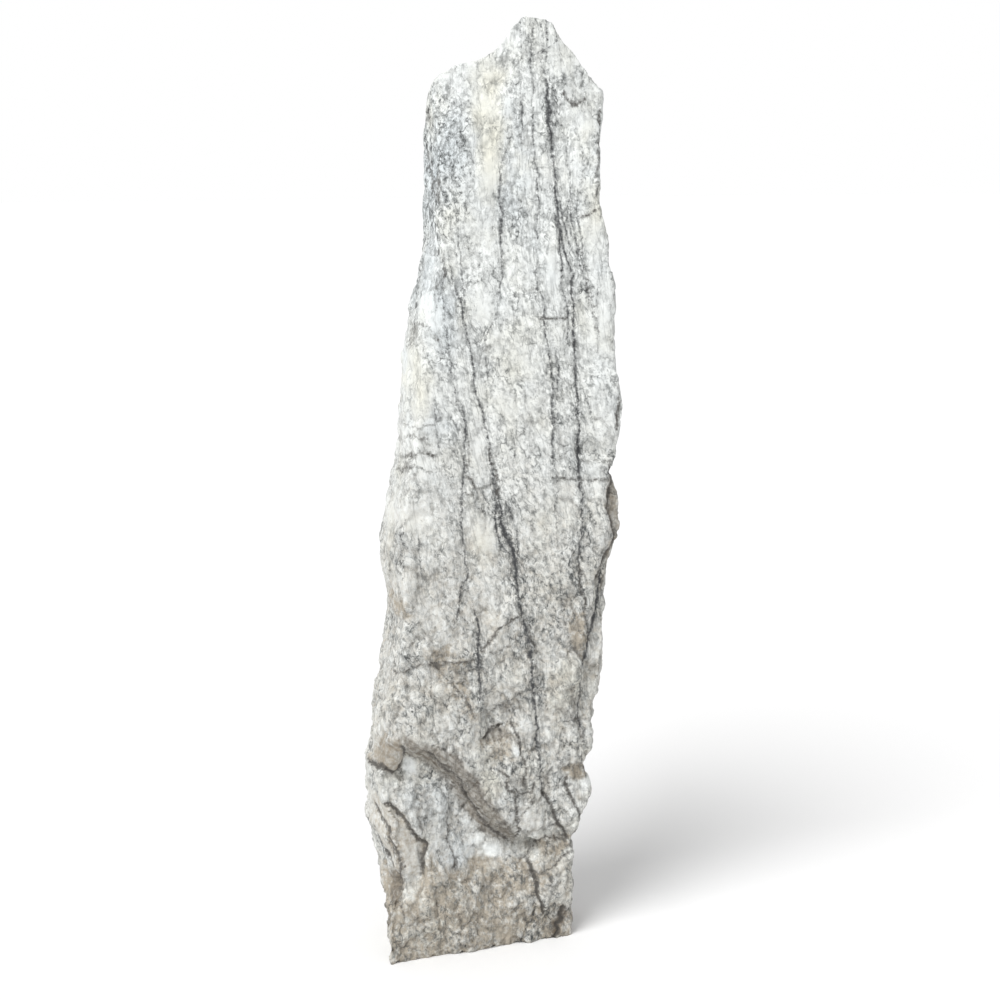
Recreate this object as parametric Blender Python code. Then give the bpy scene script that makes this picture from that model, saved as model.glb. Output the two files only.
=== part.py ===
"""A tall, rough-split block of veined marble that stands on a flat cut foot.

The stone is one solid. Its front faces -Y, its left edge is at -X and its foot stands on Z = 0.
A subdivided cube is laid out between the outlines of the stone and broken by ledges, lumps and
flat chips. Its small triangles are then joined into larger ones wherever the stone runs flat,
and the foot is cut off level. All sizes are in metres.
"""

import bmesh
import bpy
from mathutils import Vector, noise

# Driving dimensions of the stone as a whole
SHOULDER_HEIGHT = 1.615
FOOT_DEPTH = 0.012
GRID_ACROSS, GRID_THROUGH, GRID_UP = 48, 20, 190
TRIANGLES = 9500

# The left and right outlines, seen from the front: height, then distance across
LEFT_EDGE = (
    (0.000, -0.190), (0.050, -0.200), (0.100, -0.222), (0.172, -0.233), (0.214, -0.244),
    (0.246, -0.259), (0.275, -0.247), (0.361, -0.255), (0.396, -0.242), (0.505, -0.234),
    (0.554, -0.222), (0.652, -0.208), (0.769, -0.221), (0.884, -0.207), (0.950, -0.188),
    (1.148, -0.177), (1.203, -0.172), (1.259, -0.157), (1.350, -0.134), (1.615, -0.133),
)
RIGHT_EDGE = (
    (0.000, 0.149), (0.196, 0.149), (0.226, 0.156), (0.246, 0.162), (0.295, 0.178),
    (0.336, 0.170), (0.446, 0.184), (0.515, 0.200), (0.593, 0.208), (0.660, 0.210),
    (0.720, 0.208), (0.778, 0.214), (0.826, 0.227), (0.884, 0.226), (0.922, 0.211),
    (1.054, 0.227), (1.111, 0.216), (1.148, 0.213), (1.220, 0.214), (1.296, 0.206),
    (1.360, 0.200), (1.424, 0.184), (1.520, 0.187), (1.580, 0.200), (1.615, 0.200),
)
# The broken crest: distance across, then height
CREST = (
    (-0.133, 1.633), (-0.120, 1.652), (-0.090, 1.662), (-0.040, 1.680), (-0.016, 1.690),
    (0.012, 1.712), (0.030, 1.738), (0.044, 1.758), (0.070, 1.750), (0.104, 1.738),
    (0.120, 1.708), (0.150, 1.676), (0.178, 1.648), (0.196, 1.628),
)
# The front and back faces: height, then depth at the left edge and at the right edge
FRONT_FACE = (
    (0.00, -0.118, -0.042), (0.12, -0.112, -0.050), (0.25, -0.108, -0.062),
    (0.60, -0.100, -0.082), (1.00, -0.088, -0.088), (1.40, -0.072, -0.076),
    (1.76, -0.056, -0.058),
)
BACK_FACE = (
    (0.00, 0.082, 0.096), (0.25, 0.098, 0.092), (0.60, 0.094, 0.086),
    (1.00, 0.082, 0.074), (1.40, 0.066, 0.060), (1.76, 0.050, 0.046),
)
# How far the front corner is broken back from each outline, or stands proud of it where the
# width is negative: height, then width
LEFT_BEVEL = (
    (0.00, -0.036), (0.05, -0.028), (0.11, 0.000), (0.15, 0.038), (0.26, 0.046),
    (0.32, 0.022), (0.60, 0.018), (0.90, 0.022), (1.20, 0.028), (1.40, 0.022), (1.62, 0.012),
)
RIGHT_BEVEL = (
    (0.00, 0.008), (0.45, 0.012), (0.60, 0.026), (0.76, 0.018), (0.80, 0.008),
    (0.84, 0.018), (0.93, 0.016), (0.95, 0.005), (1.25, 0.010), (1.62, 0.012),
)
BACK_CORNER_BEVEL = 0.026
CREST_THINNING, CREST_THINNING_DEPTH = 0.50, 0.13
CREST_RUN, CREST_FALL = 0.10, 0.030

# Ledges: the path of the brink, with the low ground on its right hand, then how far the ground
# drops, how wide the drop is, and how far the ground takes to come level again
FRONT_LEDGES = (
    (((-0.205, 0.424), (-0.149, 0.397), (-0.104, 0.360), (-0.079, 0.325), (-0.058, 0.290),
      (-0.034, 0.260), (-0.004, 0.237), (0.030, 0.222)), 0.034, 0.036, 0.190),
    (((-0.244, 0.330), (-0.208, 0.295), (-0.187, 0.262), (-0.157, 0.230), (-0.160, 0.150)),
     0.020, 0.013, 0.075),
    (((-0.254, 0.322), (-0.218, 0.264), (-0.196, 0.190)), 0.013, 0.012, 0.050),
    (((-0.262, 0.280), (-0.228, 0.211), (-0.204, 0.120)), 0.013, 0.012, 0.050),
    (((0.036, 0.200), (0.066, 0.226), (0.105, 0.222), (0.150, 0.218)), 0.018, 0.012, 0.080),
    (((0.198, 0.830), (0.196, 0.945), (0.144, 0.952)), 0.015, 0.012, 0.045),
    (((0.140, 0.480), (0.156, 0.590), (0.178, 0.720), (0.204, 0.800)), 0.022, 0.022, 0.090),
    (((-0.042, 0.474), (0.006, 0.496), (0.054, 0.509)), 0.012, 0.014, 0.055),
    (((-0.234, 0.572), (-0.144, 0.577), (-0.059, 0.581)), 0.008, 0.012, 0.060),
    (((-0.176, 1.160), (-0.154, 1.211), (-0.136, 1.211), (-0.122, 1.165)), 0.010, 0.012, 0.050),
    (((0.126, 1.166), (0.166, 1.150), (0.221, 1.130)), 0.009, 0.012, 0.060),
    (((0.104, 0.350), (0.134, 0.350), (0.176, 0.340)), 0.010, 0.012, 0.050),
    (((-0.046, 0.380), (-0.036, 0.440), (-0.050, 0.504)), 0.010, 0.014, 0.060),
)
BACK_LEDGES = (
    (((-0.190, 1.270), (-0.030, 1.010), (0.210, 0.850)), 0.024, 0.030, 0.320),
    (((0.220, 0.330), (0.060, 0.420), (-0.240, 0.520)), 0.020, 0.026, 0.200),
    (((0.020, 1.420), (0.200, 1.330)), 0.014, 0.020, 0.120),
    (((-0.240, 0.130), (-0.020, 0.175), (0.150, 0.110)), 0.014, 0.022, 0.090),
)
# Lumps, and hollows where the height is negative: place across, height up, radius, height
FRONT_LUMPS = (
    (-0.218, 0.404, 0.034, 0.022), (0.121, 0.536, 0.036, 0.012), (-0.214, 0.132, 0.026, -0.016),
    (-0.024, 0.440, 0.036, -0.010), (-0.200, 0.740, 0.060, 0.010), (0.046, 0.100, 0.090, 0.010),
    (-0.114, 0.100, 0.080, 0.010), (0.036, 0.340, 0.070, 0.008), (0.100, 0.046, 0.024, -0.014),
    (-0.014, 0.760, 0.110, -0.007), (-0.054, 1.480, 0.100, 0.006), (0.076, 1.250, 0.110, 0.006),
    (0.074, 0.172, 0.030, 0.008), (-0.134, 0.300, 0.050, 0.006), (-0.060, 0.040, 0.050, 0.008),
)
BACK_LUMPS = (
    (0.060, 1.530, 0.110, 0.012), (-0.110, 0.860, 0.130, 0.014), (0.110, 0.620, 0.120, -0.012),
    (-0.060, 0.250, 0.100, 0.012), (-0.050, 1.180, 0.120, -0.010), (0.100, 0.200, 0.070, -0.008),
)

# Flat chips: the size of one across, through and up the stone, and how far its corners stand
# out of the face
FACE_CHIPS = ((0.085, 0.300, 0.170), 0.0050)
SMALL_CHIPS = ((0.034, 0.120, 0.062), 0.0026)
BACK_CHIPS = ((0.150, 0.400, 0.260), 0.0130)
SIDE_CHIPS = ((0.300, 0.060, 0.150), 0.0080)
CREST_CHIPS = ((0.060, 0.070, 0.200), 0.0110)
# Waves of the whole face: their length and height
SWELL_LENGTH, SWELL_HEIGHT = 0.30, 0.007
CORNER_SOFTNESS = 0.30
# How many cells lie between two chips when their slopes are drawn
CELLS_APART = 31.0


def table(rows, at, column=1):
    """The value in a column of the rows, read between them in straight lines."""
    if at <= rows[0][0]:
        return rows[0][column]
    for low, high in zip(rows, rows[1:]):
        if at <= high[0]:
            share = (at - low[0]) / (high[0] - low[0])
            return low[column] + share * (high[column] - low[column])
    return rows[-1][column]


def ease(low, high, at):
    """0 below low and 1 above high, with a smooth rise between them."""
    share = min(1.0, max(0.0, (at - low) / (high - low)))
    return share * share * (3.0 - 2.0 * share)


def beside(path, across, up):
    """How far a point lies to the right of a path, and how far past either of its ends."""
    nearest = None
    for number, (start, end) in enumerate(zip(path, path[1:])):
        run = Vector(end) - Vector(start)
        from_start = Vector((across, up)) - Vector(start)
        share = from_start.dot(run) / run.length_squared
        held = min(1.0, max(0.0, share))
        gap = from_start - held * run
        side = 1.0 if from_start.cross(run) > 0.0 else -1.0
        past = 0.0
        if number == 0 and share < 0.0:
            past = -share * run.length
        if number == len(path) - 2 and share > 1.0:
            past = (share - 1.0) * run.length
        if nearest is None or gap.length < nearest[0]:
            nearest = (gap.length, side, past)
    length, side, past = nearest
    return side * length, past


def ledge_depth(ledge, across, up):
    """How far one ledge sets the ground back at a point of its face."""
    path, drop, width, reach = ledge
    right_of, past = beside(path, across, up)
    sunk = ease(-0.5 * width, 0.5 * width, right_of) * (1.0 - ease(width, reach, right_of))
    return drop * sunk * (1.0 - ease(0.0, 0.5 * reach, past))


def lump_height(lump, across, up):
    """How far one lump raises the ground at a point of its face."""
    middle, height_up, radius, height = lump
    gap = (Vector((across, up)) - Vector((middle, height_up))).length
    return height * (1.0 - ease(0.2 * radius, 1.2 * radius, gap))


def cage():
    """A cube with its edges cut into the grid that the stone is laid out on."""
    mesh = bmesh.new()
    bmesh.ops.create_cube(mesh, size=1.0)
    for axis, cells in enumerate((GRID_ACROSS, GRID_THROUGH, GRID_UP)):
        along = [
            edge for edge in mesh.edges
            if abs(edge.verts[0].co[axis] - edge.verts[1].co[axis]) > 0.5
        ]
        bmesh.ops.subdivide_edges(mesh, edges=along, cuts=cells - 1, use_grid_fill=True)
    return mesh


def laid_out(share):
    """The place in the stone of a point of the unit cage, before its faces are broken."""
    across, through, up = (part + 0.5 for part in share)
    crest_across = table(LEFT_EDGE, SHOULDER_HEIGHT) + across * (
        table(RIGHT_EDGE, SHOULDER_HEIGHT) - table(LEFT_EDGE, SHOULDER_HEIGHT)
    )
    crest = table(CREST, crest_across)
    crest += chips(CREST_CHIPS, (crest_across, through * CREST_RUN, 0.0)) - CREST_FALL * through
    height = up * (crest + FOOT_DEPTH) - FOOT_DEPTH
    worn = 0.6 + 0.8 * noise.noise(Vector((across * 3.0, through * 3.0, height * 9.0)))
    to_front = (1.0 - through) ** 1.4
    to_back = BACK_CORNER_BEVEL * through ** 5.0 * worn
    left = table(LEFT_EDGE, height) + table(LEFT_BEVEL, height) * to_front + to_back
    right = table(RIGHT_EDGE, height) - table(RIGHT_BEVEL, height) * to_front ** 2.0 - to_back
    front = (1.0 - across) * table(FRONT_FACE, height) + across * table(FRONT_FACE, height, 2)
    back = (1.0 - across) * table(BACK_FACE, height) + across * table(BACK_FACE, height, 2)
    kept = 1.0 - CREST_THINNING * (1.0 - ease(0.0, CREST_THINNING_DEPTH, crest - height))
    middle = 0.5 * (front + back)
    depth = middle + (through - 0.5) * (back - front) * kept
    return Vector((left + across * (right - left), depth, height))


def chips(kind, place):
    """How far the flat chip at this place stands out: each slopes in a direction of its own."""
    sizes, height = kind
    spot = Vector([at / size for at, size in zip(place, sizes)])
    middle = noise.voronoi(spot)[1][0]
    slope = 2.0 * noise.cell_vector(middle * CELLS_APART) - Vector((1.0, 1.0, 1.0))
    return height * slope.dot(spot - middle)


def break_faces(mesh):
    """Moves each point of the laid-out block out or in by the ledges, lumps, chips and swells."""
    mesh.normal_update()
    moves = []
    for point in mesh.verts:
        place, outward = point.co.copy(), point.normal.copy()
        to_front = ease(0.25, 0.80, -outward.y)
        to_back = ease(0.25, 0.80, outward.y)
        to_side = ease(0.35, 0.85, abs(outward.x))
        front = chips(FACE_CHIPS, place)
        back = chips(BACK_CHIPS, place)
        if to_front > 0.0:
            front += sum(lump_height(lump, place.x, place.z) for lump in FRONT_LUMPS)
            front -= sum(ledge_depth(ledge, place.x, place.z) for ledge in FRONT_LEDGES)
        if to_back > 0.0:
            back += sum(lump_height(lump, place.x, place.z) for lump in BACK_LUMPS)
            back -= sum(ledge_depth(ledge, place.x, place.z) for ledge in BACK_LEDGES)
        swell = SWELL_HEIGHT * noise.noise(place / SWELL_LENGTH)
        move = outward * (swell * (1.0 - to_side) + chips(SMALL_CHIPS, place))
        move.y += to_back * back - to_front * front
        move.x += to_side * chips(SIDE_CHIPS, place)
        moves.append(move)
    for point, move in zip(mesh.verts, moves):
        point.co += move


def joined_flats(mesh):
    """The mesh with its small triangles joined into larger ones where the stone runs flat."""
    data = bpy.data.meshes.new("fine stone")
    mesh.to_mesh(data)
    stone = bpy.data.objects.new("fine stone", data)
    bpy.context.scene.collection.objects.link(stone)
    larger = stone.modifiers.new("larger triangles", "DECIMATE")
    larger.ratio = TRIANGLES / len(data.polygons)
    joined = bpy.data.meshes.new_from_object(
        stone.evaluated_get(bpy.context.evaluated_depsgraph_get())
    )
    bpy.data.objects.remove(stone)
    mesh.clear()
    mesh.from_mesh(joined)
    return mesh


def cut_foot(mesh):
    """Cuts the stone off flat at Z = 0 and closes the cut."""
    cut = bmesh.ops.bisect_plane(
        mesh, geom=mesh.verts[:] + mesh.edges[:] + mesh.faces[:], dist=1e-6,
        plane_co=(0.0, 0.0, 0.0), plane_no=(0.0, 0.0, -1.0), clear_outer=True,
    )
    rim = [item for item in cut["geom_cut"] if isinstance(item, bmesh.types.BMEdge)]
    bmesh.ops.holes_fill(mesh, edges=rim, sides=0)


def centre(mesh):
    """Puts the middle of the stone's box over the origin, and leaves its foot at Z = 0."""
    for axis in range(2):
        places = [point.co[axis] for point in mesh.verts]
        middle = 0.5 * (min(places) + max(places))
        for point in mesh.verts:
            point.co[axis] -= middle


def marble():
    """White marble, weathered to a warm grey."""
    material = bpy.data.materials.new("split_marble")
    material.use_nodes = True
    shader = material.node_tree.nodes["Principled BSDF"]
    shader.inputs["Base Color"].default_value = (0.60, 0.59, 0.56, 1.0)
    shader.inputs["Roughness"].default_value = 0.85
    shader.inputs["Metallic"].default_value = 0.0
    return material


def build_block():
    """The marble block as one object in a collection of its own."""
    mesh = cage()
    for point in mesh.verts:
        point.co = laid_out(point.co)
    break_faces(mesh)
    bmesh.ops.smooth_vert(
        mesh, verts=mesh.verts, factor=CORNER_SOFTNESS,
        use_axis_x=True, use_axis_y=True, use_axis_z=True,
    )
    bmesh.ops.triangulate(mesh, faces=mesh.faces[:])
    mesh = joined_flats(mesh)
    cut_foot(mesh)
    centre(mesh)
    bmesh.ops.triangulate(mesh, faces=mesh.faces[:])
    bmesh.ops.recalc_face_normals(mesh, faces=mesh.faces[:])

    data = bpy.data.meshes.new("marble_block")
    mesh.to_mesh(data)
    mesh.free()
    data.shade_smooth()
    data.materials.append(marble())
    block = bpy.data.objects.new("marble_block", data)
    collection = bpy.data.collections.new("marble_block")
    bpy.context.scene.collection.children.link(collection)
    collection.objects.link(block)
    return block


def main():
    """Clears the scene and builds the stone."""
    for old in list(bpy.data.objects):
        bpy.data.objects.remove(old)
    build_block()


main()
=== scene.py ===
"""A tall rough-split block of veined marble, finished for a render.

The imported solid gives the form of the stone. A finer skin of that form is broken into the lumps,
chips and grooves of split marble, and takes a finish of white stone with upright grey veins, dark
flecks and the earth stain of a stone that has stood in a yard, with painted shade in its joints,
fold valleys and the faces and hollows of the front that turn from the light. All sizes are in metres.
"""

import math

import bmesh
import bpy
from bpy.props import FloatProperty, FloatVectorProperty, PointerProperty
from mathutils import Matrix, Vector, noise


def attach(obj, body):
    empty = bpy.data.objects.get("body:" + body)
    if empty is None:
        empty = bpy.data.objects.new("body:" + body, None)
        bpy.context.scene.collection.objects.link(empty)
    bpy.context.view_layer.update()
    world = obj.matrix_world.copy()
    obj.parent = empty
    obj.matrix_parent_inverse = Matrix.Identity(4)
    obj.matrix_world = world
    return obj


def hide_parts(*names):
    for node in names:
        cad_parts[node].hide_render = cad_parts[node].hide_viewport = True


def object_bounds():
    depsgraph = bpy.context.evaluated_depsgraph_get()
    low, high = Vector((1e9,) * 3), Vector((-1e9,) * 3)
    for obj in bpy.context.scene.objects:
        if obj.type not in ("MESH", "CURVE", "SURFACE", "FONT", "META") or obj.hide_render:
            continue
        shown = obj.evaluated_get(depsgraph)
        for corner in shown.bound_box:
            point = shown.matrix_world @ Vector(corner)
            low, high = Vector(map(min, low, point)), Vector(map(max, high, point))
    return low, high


bl_info = {
    "name": "Split Marble Block",
    "version": (1, 0, 0),
    "blender": (4, 5, 0),
    "location": "View3D > Sidebar > Marble",
    "description": "Dresses a standing block of rough-split marble and its stage",
    "category": "Object",
}

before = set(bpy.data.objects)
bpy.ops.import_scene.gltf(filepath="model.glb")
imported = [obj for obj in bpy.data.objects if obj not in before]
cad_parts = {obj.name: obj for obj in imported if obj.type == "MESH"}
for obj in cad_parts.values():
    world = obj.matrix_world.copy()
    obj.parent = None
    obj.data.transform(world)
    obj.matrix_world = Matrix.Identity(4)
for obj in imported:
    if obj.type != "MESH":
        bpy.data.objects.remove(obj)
CAD_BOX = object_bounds()
NODE = "marble_block"
TOP = CAD_BOX[1].z

# Veins, read down the front face: height and place across, then height and darkness.
# Each vein is a sheet that runs on through the stone.
VEINS = (
    (((1.163, 0.132), (1.219, 0.130), (1.246, 0.124), (1.328, 0.114), (1.355, 0.115), (1.444, 0.108),
      (1.497, 0.110), (1.524, 0.108), (1.559, 0.099), (1.582, 0.101), (1.603, 0.098), (1.620, 0.101),
      (1.638, 0.099), (1.673, 0.105), (1.699, 0.112), (1.735, 0.115)),
     ((1.150, 0.0), (1.190, 0.7), (1.400, 1.0), (1.500, 0.9), (1.560, 1.3), (1.620, 1.2), (1.660, 0.6),
      (1.732, 0.7))),
    (((0.674, 0.164), (0.723, 0.157), (0.791, 0.150), (0.847, 0.155), (0.876, 0.155), (0.933, 0.147),
      (0.959, 0.150), (0.968, 0.156), (0.998, 0.146), (1.054, 0.147), (1.090, 0.143), (1.153, 0.147),
      (1.191, 0.142), (1.291, 0.136), (1.310, 0.130), (1.369, 0.114)),
     ((0.660, 0.0), (0.720, 0.9), (0.920, 1.0), (0.960, 1.6), (1.000, 1.1), (1.370, 1.0), (1.400, 0.0))),
    (((0.725, 0.116), (0.822, 0.106), (0.878, 0.107), (1.000, 0.097), (1.027, 0.100), (1.101, 0.100),
      (1.183, 0.087), (1.233, 0.084), (1.274, 0.074), (1.329, 0.070)),
     ((0.660, 0.0), (0.700, 0.5), (0.900, 0.6), (1.000, 0.9), (1.250, 0.8), (1.340, 0.0))),
    (((1.064, 0.105), (1.091, 0.107), (1.119, 0.115), (1.146, 0.108)),
     ((1.050, 0.0), (1.090, 0.8), (1.130, 0.8), (1.160, 0.0))),
    (((1.377, 0.074), (1.426, 0.077), (1.488, 0.075), (1.541, 0.072), (1.655, 0.076), (1.673, 0.078),
      (1.735, 0.093)),
     ((1.340, 0.0), (1.380, 0.6), (1.542, 0.7), (1.600, 0.4), (1.655, 0.7), (1.700, 0.9), (1.732, 0.7))),
    (((1.700, 0.122), (1.708, 0.134), (1.735, 0.130)),
     ((1.660, 0.0), (1.700, 0.7), (1.740, 0.7))),
    (((1.566, 0.053), (1.620, 0.054), (1.717, 0.064)),
     ((1.500, 0.0), (1.580, 0.6), (1.660, 0.4), (1.720, 0.5))),
    (((1.140, -0.031), (1.167, -0.027), (1.185, -0.021), (1.212, -0.004), (1.239, 0.000),
      (1.275, 0.008), (1.302, 0.011), (1.338, 0.011), (1.365, 0.009), (1.391, 0.010), (1.445, 0.005),
      (1.471, 0.008), (1.498, 0.014), (1.515, 0.022)),
     ((1.120, 0.0), (1.180, 0.7), (1.300, 0.6), (1.400, 1.0), (1.516, 0.6), (1.600, 0.0))),
    (((0.207, 0.131), (0.303, 0.090), (0.375, 0.079), (0.424, 0.076), (0.455, 0.072), (0.483, 0.071),
      (0.516, 0.063), (0.555, 0.060), (0.614, 0.053), (0.672, 0.038), (0.701, 0.034), (0.757, 0.035),
      (0.776, 0.031), (0.795, 0.021), (0.853, 0.003), (0.938, -0.013), (1.012, -0.021), (1.030, -0.025),
      (1.086, -0.043), (1.132, -0.046), (1.204, -0.060), (1.223, -0.065), (1.258, -0.069),
      (1.276, -0.076), (1.294, -0.080)),
     ((0.210, 0.0), (0.260, 0.5), (0.400, 0.9), (0.480, 1.1), (0.700, 1.1), (0.770, 1.4), (0.850, 1.4),
      (0.885, 0.9), (1.100, 0.9), (1.280, 0.8), (1.330, 0.0))),
    (((1.241, -0.064), (1.258, -0.059), (1.374, -0.069)),
     ((1.230, 0.0), (1.260, 0.6), (1.360, 0.6), (1.410, 0.0))),
    (((0.683, -0.081), (0.706, -0.075), (0.725, -0.072), (0.743, -0.059), (0.772, -0.064),
      (0.884, -0.072), (0.921, -0.067), (0.986, -0.063), (1.050, -0.066)),
     ((0.640, 0.0), (0.690, 0.9), (0.780, 0.8), (1.030, 0.9), (1.070, 0.0))),
    (((0.503, -0.041), (0.561, -0.042), (0.592, -0.047), (0.620, -0.043), (0.639, -0.043),
      (0.673, -0.049)),
     ((0.480, 0.0), (0.510, 0.9), (0.600, 1.2), (0.670, 0.9), (0.690, 0.0))),
    (((0.923, -0.096), (0.950, -0.101), (0.978, -0.110), (1.033, -0.118), (1.187, -0.095),
      (1.214, -0.098), (1.250, -0.098), (1.277, -0.095), (1.303, -0.096)),
     ((0.870, 0.0), (0.940, 0.5), (1.034, 0.5), (1.090, 0.2), (1.188, 0.5), (1.305, 0.5), (1.330, 0.0))),
    (((0.323, 0.189), (0.365, 0.173), (0.427, 0.167), (0.446, 0.163), (0.481, 0.171), (0.525, 0.164),
      (0.554, 0.168), (0.581, 0.178), (0.620, 0.185), (0.658, 0.197), (0.727, 0.202)),
     ((0.310, 0.0), (0.350, 0.6), (0.450, 0.8), (0.560, 1.1), (0.700, 1.2), (0.760, 0.0))),
    (((0.433, -0.135), (0.566, -0.132)),
     ((0.410, 0.0), (0.440, 0.5), (0.550, 0.5), (0.580, 0.0))),
    (((1.273, 0.162), (1.363, 0.142), (1.399, 0.137), (1.426, 0.137)),
     ((1.200, 0.0), (1.280, 0.7), (1.400, 0.7), (1.440, 0.0))),
    (((1.336, 0.139), (1.354, 0.130), (1.389, 0.121), (1.435, 0.115)),
     ((1.310, 0.0), (1.350, 0.7), (1.430, 0.5), (1.460, 0.0))),
    (((1.315, 0.157), (1.343, 0.147), (1.356, 0.140), (1.392, 0.130), (1.445, 0.136), (1.485, 0.134),
      (1.532, 0.137)),
     ((1.290, 0.0), (1.330, 0.6), (1.520, 0.5), (1.560, 0.0))),
    (((1.327, 0.158), (1.372, 0.152), (1.390, 0.146), (1.417, 0.147)),
     ((1.290, 0.0), (1.330, 0.6), (1.420, 0.6), (1.450, 0.0))),
    (((1.172, 0.185), (1.245, 0.185)),
     ((1.140, 0.0), (1.180, 0.5), (1.240, 0.5), (1.270, 0.0))),
    (((1.655, 0.093), (1.714, 0.107), (1.738, 0.106)),
     ((1.600, 0.0), (1.670, 0.4), (1.700, 0.7), (1.750, 0.5))),
    (((1.012, 0.176), (1.036, 0.172), (1.072, 0.159)),
     ((1.000, 0.0), (1.030, 0.6), (1.060, 0.6), (1.100, 0.0))),
    (((1.223, 0.179), (1.282, 0.162), (1.318, 0.159)),
     ((1.200, 0.0), (1.240, 0.6), (1.300, 0.6), (1.330, 0.0))),
    (((1.036, -0.066), (1.120, -0.087), (1.187, -0.095)),
     ((1.010, 0.0), (1.040, 0.7), (1.160, 0.6), (1.200, 0.0))),
    (((1.236, -0.111), (1.261, -0.101), (1.288, -0.094)),
     ((1.220, 0.0), (1.250, 0.5), (1.290, 0.5), (1.320, 0.0))),
    (((0.777, -0.189), (0.816, -0.186), (0.850, -0.179)),
     ((0.740, 0.0), (0.780, 0.6), (0.840, 0.5), (0.860, 0.0))),
    (((0.777, -0.154), (0.827, -0.155)),
     ((0.740, 0.0), (0.770, 0.5), (0.810, 0.5), (0.830, 0.0))),
    (((1.080, -0.019), (1.147, -0.019)),
     ((1.060, 0.0), (1.090, 0.5), (1.130, 0.5), (1.160, 0.0))),
    (((0.774, 0.022), (0.795, 0.006), (0.824, -0.002), (0.881, -0.007)),
     ((0.770, 0.0), (0.800, 0.9), (0.860, 0.9), (0.890, 0.0))),
    (((0.766, 0.038), (0.795, 0.035), (0.828, 0.029), (0.882, 0.007)),
     ((0.760, 0.0), (0.790, 0.8), (0.860, 0.8), (0.890, 0.0))),
    (((0.964, 0.027), (1.033, 0.032)),
     ((0.940, 0.0), (0.970, 0.5), (1.010, 0.4), (1.030, 0.0))),
)
# How far the layers of the stone lean across: height, then the place of one layer
LAYER_LEAN = ((0.0, 0.090), (0.45, 0.070), (0.80, 0.030), (1.10, -0.030), (1.40, -0.070), (1.75, -0.080))

# Tinted places of the front: across, height, how far each reaches across and up, and strength
FLECKED = (
    (0.120, 0.350, 0.080, 0.110, 0.15), (0.170, 0.780, 0.045, 0.160, 0.5),
    (-0.100, 1.486, 0.050, 0.160, 1.4), (0.108, 1.600, 0.018, 0.050, 1.4),
    (0.020, 0.850, 0.060, 0.110, 0.45), (0.012, 0.805, 0.022, 0.050, 1.4),
    (0.060, 0.680, 0.060, 0.130, 0.8), (0.070, 0.520, 0.080, 0.060, 0.45),
    (0.200, 0.880, 0.030, 0.110, 0.8), (-0.080, 0.560, 0.110, 0.090, 0.5),
    (0.040, 0.350, 0.120, 0.120, 0.4), (0.090, 0.060, 0.060, 0.090, 0.6),
)
CLEAN = (
    (-0.021, 1.651, 0.030, 0.030, 0.9), (-0.023, 1.592, 0.026, 0.030, 0.8),
    (-0.015, 1.473, 0.026, 0.060, 0.9), (0.112, 1.656, 0.024, 0.020, 0.9),
    (0.167, 1.547, 0.026, 0.026, 0.9), (0.167, 1.385, 0.026, 0.040, 0.8),
    (-0.097, 1.644, 0.036, 0.016, 0.9), (-0.040, 0.998, 0.014, 0.045, 1.0),
    (-0.171, 0.858, 0.030, 0.036, 1.1), (-0.023, 0.816, 0.022, 0.034, 1.0),
    (-0.182, 0.739, 0.026, 0.032, 1.0), (-0.150, 0.990, 0.050, 0.075, 1.15),
    (0.192, 0.805, 0.020, 0.030, 0.8), (0.185, 1.200, 0.030, 0.120, 0.8),
    (-0.040, 1.237, 0.022, 0.045, 1.0), (-0.122, 1.220, 0.018, 0.045, 1.0),
    (-0.165, 1.120, 0.030, 0.080, 1.15), (0.095, 1.300, 0.014, 0.090, 0.6),
    (0.105, 1.715, 0.040, 0.030, 0.4),
)
CREAMY = (
    (-0.020, 1.540, 0.035, 0.150, 1.0), (0.167, 1.470, 0.028, 0.130, 0.6),
    (-0.160, 1.090, 0.050, 0.090, 0.7), (0.020, 1.130, 0.050, 0.080, 0.7),
    (-0.040, 0.810, 0.030, 0.050, 0.6), (0.130, 0.510, 0.050, 0.060, 0.7),
    (-0.110, 0.090, 0.090, 0.080, 0.5),
)
COOL = (
    (-0.100, 1.250, 0.050, 0.120, 0.8), (-0.105, 1.500, 0.050, 0.150, 0.8),
    (0.030, 1.480, 0.040, 0.160, 0.7), (-0.110, 1.020, 0.040, 0.040, 0.7),
    (-0.040, 0.890, 0.030, 0.040, 0.7), (0.020, 0.600, 0.040, 0.050, 0.7),
    (-0.090, 0.240, 0.050, 0.070, 0.8),
)
# Where folds run across the stone in place of the upright ribs, laid out like the tinted places
FOLDED = ((-0.155, 0.960, 0.070, 0.130, 1.0), (-0.175, 0.770, 0.060, 0.080, 0.7))
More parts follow.
